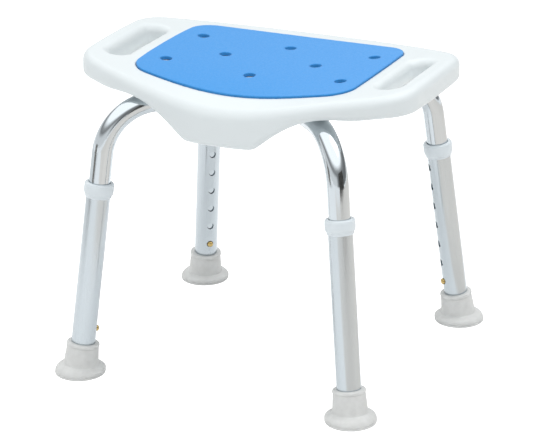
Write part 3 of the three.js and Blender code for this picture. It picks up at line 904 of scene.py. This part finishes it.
def make_spring(leg, sx, sy):
    """The folded leaf behind the button."""
    half = SPRING_STRIP / 2
    near, far = BUTTON_BACK - GAP - half, SPRING_BACK + half
    moving_arm = [(near, -5), (near, 7), (3.6, SPRING_FOLD - 6)]
    fixed_arm = [(-3.8, SPRING_FOLD - 4), (far, 8), (far, -4)]
    path = softened([Vector(point) for point in (*moving_arm, (0, SPRING_FOLD), *fixed_arm)])
    last = len(path) - 1
    sides = []
    for i, point in enumerate(path):
        along = (path[min(i + 1, last)] - path[max(i - 1, 0)]).normalized()
        aside = Vector((-along.y, along.x)) * half
        sides.append((point + aside, point - aside))
    outline = [side[0] for side in sides] + [side[1] for side in reversed(sides)]
    count = len(outline)
    vertices = [(p.y, y, p.x) for y in (-SPRING_WIDTH / 2, SPRING_WIDTH / 2) for p in outline]
    faces = [(k, (k + 1) % count, (k + 1) % count + count, k + count) for k in range(count)]
    for start in (0, count):
        end = start + count
        faces += [(start + k, start + k + 1, end - 2 - k, end - 1 - k) for k in range(last)]
    place = metres(facing_inward(sx, sy, FIRST_HOLE))
    leaf = make_object(f"{leg}_spring_leaf", vertices, faces, place, sharp=None)
    tidy(leaf)
    leaf.data.materials.append(MATERIALS["steel"])
    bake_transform(leaf)
    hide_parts(f"{leg}_button_spring")


def make_screw(leg, sx, sy, spot, station):
    head_top = SADDLE_BOTTOM - GAP
    head_bottom = head_top - SCREW_HEAD_HEIGHT
    corners = [
        (0, head_bottom, 0),
        (SCREW_HEAD - 2.2, head_bottom, 1.6),
        (SCREW_HEAD - 0.3, head_top - 1.6, 1.2),
        (SCREW_HEAD, head_top, 0.3),
        (SCREW_SHANK, head_top, 0.2),
        (SCREW_SHANK, SCREW_TIP - 1, 0.2),
        (SCREW_SHANK - 1, SCREW_TIP, 0.2),
        (0, SCREW_TIP, 0),
    ]
    place = upright_plane(sx, sy) @ Matrix.Translation((station, 0, 0))
    screw = turned(f"{leg}_{spot}_screw_fine", corners, metres(place), sides=40)
    tools = []
    for turn in (0, math.pi / 2):
        depth = Matrix.Translation((0, 0, head_bottom))
        blade = place @ depth @ Matrix.Rotation(turn, 4, "Z") @ Matrix.Diagonal((5.6, 1.1, 3.2, 1))
        tool = make_object("tool", *unit_box(), sharp=None)
        tool.matrix_world = Matrix.Scale(MM, 4) @ blade @ Matrix.Scale(1 / MM, 4)
        tools.append(tool)
    cut(screw, *tools)
    finish_piece(screw, "root", "steel", f"{leg}_{spot}_screw")


def unit_box():
    """A cube one millimetre on a side, about the origin."""
    vertices = [(x, y, z) for x in (-0.5, 0.5) for y in (-0.5, 0.5) for z in (-0.5, 0.5)]
    faces = [(0, 1, 3, 2), (4, 6, 7, 5), (0, 4, 5, 1), (2, 3, 7, 6), (0, 2, 6, 4), (1, 5, 7, 3)]
    return vertices, faces


def make_saddle(leg, sx, sy, spot, station):
    corners = [
        (SCREW_HOLE, SADDLE_BOTTOM, 0.2),
        (SADDLE_RADIUS, SADDLE_BOTTOM, 0.7),
        (SADDLE_RADIUS, SADDLE_TOP, 0.3),
        (SCREW_HOLE, SADDLE_TOP, 0),
    ]
    place = upright_plane(sx, sy) @ Matrix.Translation((station, 0, 0))
    saddle = turned(f"{leg}_{spot}_saddle_fine", corners, metres(place), sides=48)
    lying = place @ Matrix.Translation((0, 0, RUN_HEIGHT)) @ Matrix.Rotation(math.pi / 2, 4, "Y")
    cut(saddle, cylinder(UPPER_RADIUS + GAP, -30, 30, metres(lying), sides=96))
    finish_piece(saddle, "root", "steel", f"{leg}_{spot}_saddle")


def make_plug(leg, sx, sy):
    fit = UPPER_RADIUS - UPPER_WALL - GAP
    corners = [
        (0, -PLUG_HEAD, 0),
        (UPPER_RADIUS - 0.2, -PLUG_HEAD, 1.2),
        (UPPER_RADIUS - 0.1, -GAP, 0.2),
        (fit, -GAP, 0),
        (fit, 9, 1.0),
        (fit - 0.6, 12, 0.3),
        (fit - 2.4, 12, 0.3),
        (fit - 2.4, 1, 0.3),
        (0, 1, 0),
    ]
    spot = Matrix.Translation((INNER_END, 0, RUN_HEIGHT)) @ Matrix.Rotation(math.pi / 2, 4, "Y")
    plug = turned(f"{leg}_end_cap", corners, metres(upright_plane(sx, sy) @ spot), sides=56)
    finish_piece(plug, "root", "fitting_plastic", f"{leg}_tube_end_plug")


def carry_over(node, slot):
    """A hidden CAD piece keeps its shape and takes the finished material."""
    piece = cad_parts[node]
    piece.data.materials.clear()
    piece.data.materials.append(MATERIALS[slot])


# ---------------------------------------------------------------- stage


def make_floor():
    """Four quarters that lap under the seat. Each goes down with its leg, so that the foot stays on it.

    They are as white as the backdrop, and the camera sees that through them, so that they never hide
    the foot of a leg that is set longer than the others.
    """
    shader = Shader("floor", (0.94, 0.94, 0.94), 0.85)
    shader.tint(shader.noise(2, 2), 0.005)
    half_size = 7.0
    lap = 0.1
    layer_drop = 0.05 * MM
    for layer, (leg, (sx, sy)) in enumerate(LEGS.items()):
        mesh = bpy.data.meshes.new(f"{leg}_floor")
        work = bmesh.new()
        middle = Vector((sx * (half_size - lap), sy * (half_size - lap), -layer * layer_drop))
        spot = Matrix.Translation(middle)
        bmesh.ops.create_grid(work, x_segments=1, y_segments=1, size=half_size, matrix=spot)
        work.to_mesh(mesh)
        work.free()
        mesh.materials.append(shader.material)
        floor = bpy.data.objects.new(f"{leg}_floor", mesh)
        bpy.context.scene.collection.objects.link(floor)
        floor.visible_camera = False
        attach(floor, f"{leg}_lower_leg")


# Brightness of the surroundings from each sine of elevation up: walls, paler low on the left than on
# the right, under a bright ceiling. Below the horizon they are as white as the floor.
LEFT_WALLS = [(0.0, 0.60), (0.20, 0.58), (0.32, 0.20), (0.42, 0.30), (0.58, 1.0)]
RIGHT_WALLS = [(0.0, 0.16), (0.22, 0.14), (0.34, 0.20), (0.44, 0.30), (0.58, 1.0)]
LEFTWARD = Vector((-0.904, -0.427, 0))
WALL_TURN = 0.15  # how far each side of the dividing plane the two walls blend
HORIZON_END = (-0.05, -0.06)
BACKDROP = 0.85
CEILING_STRENGTH = 1.75


def make_world():
    world = bpy.data.worlds.new("studio")
    bpy.context.scene.world = world
    world.use_nodes = True
    tree = world.node_tree
    place = tree.nodes.new("ShaderNodeTexCoord")
    split = tree.nodes.new("ShaderNodeSeparateXYZ")
    tree.links.new(place.outputs["Generated"], split.inputs["Vector"])
    mix = tree.nodes.new("ShaderNodeMix")
    mix.data_type = "RGBA"
    for socket, walls in (("A", RIGHT_WALLS), ("B", LEFT_WALLS)):
        ramp = tree.nodes.new("ShaderNodeValToRGB")
        elements = ramp.color_ramp.elements
        while len(elements) < len(walls):
            elements.new(0.5)
        for element, (position, level) in zip(elements, walls):
            element.position = position
            element.color = (level, level, level, 1)
        tree.links.new(split.outputs["Z"], ramp.inputs["Fac"])
        tree.links.new(ramp.outputs["Color"], mix.inputs[socket])
    side = tree.nodes.new("ShaderNodeVectorMath")
    side.operation = "DOT_PRODUCT"
    side.inputs[1].default_value = LEFTWARD
    tree.links.new(place.outputs["Generated"], side.inputs[0])
    fade = tree.nodes.new("ShaderNodeMapRange")
    fade.inputs["From Min"].default_value = -WALL_TURN
    fade.inputs["From Max"].default_value = WALL_TURN
    tree.links.new(side.outputs["Value"], fade.inputs["Value"])
    tree.links.new(fade.outputs["Result"], mix.inputs["Factor"])
    below = tree.nodes.new("ShaderNodeMapRange")
    below.inputs["From Min"].default_value = HORIZON_END[0]
    below.inputs["From Max"].default_value = HORIZON_END[1]
    tree.links.new(split.outputs["Z"], below.inputs["Value"])
    backdrop = tree.nodes.new("ShaderNodeMix")
    backdrop.data_type = "RGBA"
    tree.links.new(below.outputs["Result"], backdrop.inputs["Factor"])
    tree.links.new(mix.outputs["Result"], backdrop.inputs["A"])
    backdrop.inputs["B"].default_value = (BACKDROP, BACKDROP, BACKDROP, 1)
    background = tree.nodes["Background"]
    background.inputs["Strength"].default_value = CEILING_STRENGTH
    tree.links.new(backdrop.outputs["Result"], background.inputs["Color"])


def make_light():
    """One soft panel over the right end, which lifts the tops a little above the surroundings' light."""
    place = Vector((0.65, 0.1, 1.45))
    data = bpy.data.lights.new("overhead", "AREA")
    data.shape = "SQUARE"
    data.size = 0.9
    data.energy = 4.8
    light = bpy.data.objects.new("overhead", data)
    bpy.context.scene.collection.objects.link(light)
    light.location = place
    aim = Vector((0, 0, 0.25)) - place
    light.rotation_mode = "QUATERNION"
    light.rotation_quaternion = aim.to_track_quat("-Z", "Y")


def make_card(name, middle, size, facing, turn, color):
    """A flat card of the studio that shows only in the tubes' reflections."""
    shader = Shader(name, color, 0.9)
    shader.tint(shader.noise(20, 2), 0.05)
    mesh = bpy.data.meshes.new(name)
    work = bmesh.new()
    bmesh.ops.create_grid(work, x_segments=2, y_segments=2, size=0.5)
    work.to_mesh(mesh)
    work.free()
    mesh.materials.append(shader.material)
    card = bpy.data.objects.new(name, mesh)
    bpy.context.scene.collection.objects.link(card)
    turned_to = Vector(facing).to_track_quat("Z", "Y") @ Quaternion((0, 0, 1), math.radians(turn))
    card.matrix_world = Matrix.LocRotScale(Vector(middle), turned_to, (*size, 1))
    for ray in ("visible_camera", "visible_diffuse", "visible_shadow", "visible_transmission"):
        setattr(card, ray, False)


def make_cards():
    """What lies beside the pale sheet that the stool stands on, and a dark corner of the room."""
    up = (0, 0, 1)
    make_card("right_table", (2.25, 0.07, 0.003), (4.0, 5.0), up, -6.7, (0.77, 0.715, 0.665))
    make_card("left_table", (-1.74, -0.55, 0.003), (1.8, 3.2), up, 0, (0.72, 0.73, 0.73))
    make_card("dark_corner", (1.45, -0.72, 0.52), (1.3, 0.76), (-1.45, 0.72, 0), 0, (0.06, 0.055, 0.05))
    make_card("left_edge", (-1.06, -0.88, 0.18), (0.5, 0.34), (1.06, 0.88, 0), 0, (0.26, 0.24, 0.22))


def make_camera():
    azimuth, elevation, roll = (math.radians(a) for a in (25.53, 20.45, -0.684))
    distance = 3.485
    target = Vector((-0.01482, 0.01538, 0.15215))
    back = Vector((
        math.sin(azimuth) * math.cos(elevation),
        -math.cos(azimuth) * math.cos(elevation),
        math.sin(elevation),
    ))
    data = bpy.data.cameras.new("camera")
    data.sensor_width = 36
    data.lens = 195.06
    camera = bpy.data.objects.new("camera", data)
    bpy.context.scene.collection.objects.link(camera)
    camera.location = target + back * distance
    camera.rotation_mode = "QUATERNION"
    level = (-back).to_track_quat("-Z", "Y")
    camera.rotation_quaternion = level @ Matrix.Rotation(roll, 3, "Z").to_quaternion()
    bpy.context.scene.camera = camera


# ---------------------------------------------------------------- build

make_camera()
make_floor()
make_world()
make_light()
make_cards()
bpy.context.scene.view_settings.view_transform = "Standard"

make_seat()
make_pad()
for leg, (sx, sy) in LEGS.items():
    make_upper_tube(leg, sx, sy)
    make_plug(leg, sx, sy)
    make_lower_tube(leg, sx, sy)
    make_collar(leg, sx, sy)
    make_foot(leg, sx, sy)
    make_button(leg, sx, sy)
    carry_over(f"{leg}_foot_washer", "steel")
    make_spring(leg, sx, sy)
    for spot, station in SCREW_STATIONS.items():
        make_screw(leg, sx, sy, spot, station)
        make_saddle(leg, sx, sy, spot, station)
        carry_over(f"{leg}_{spot}_insert", "brass")
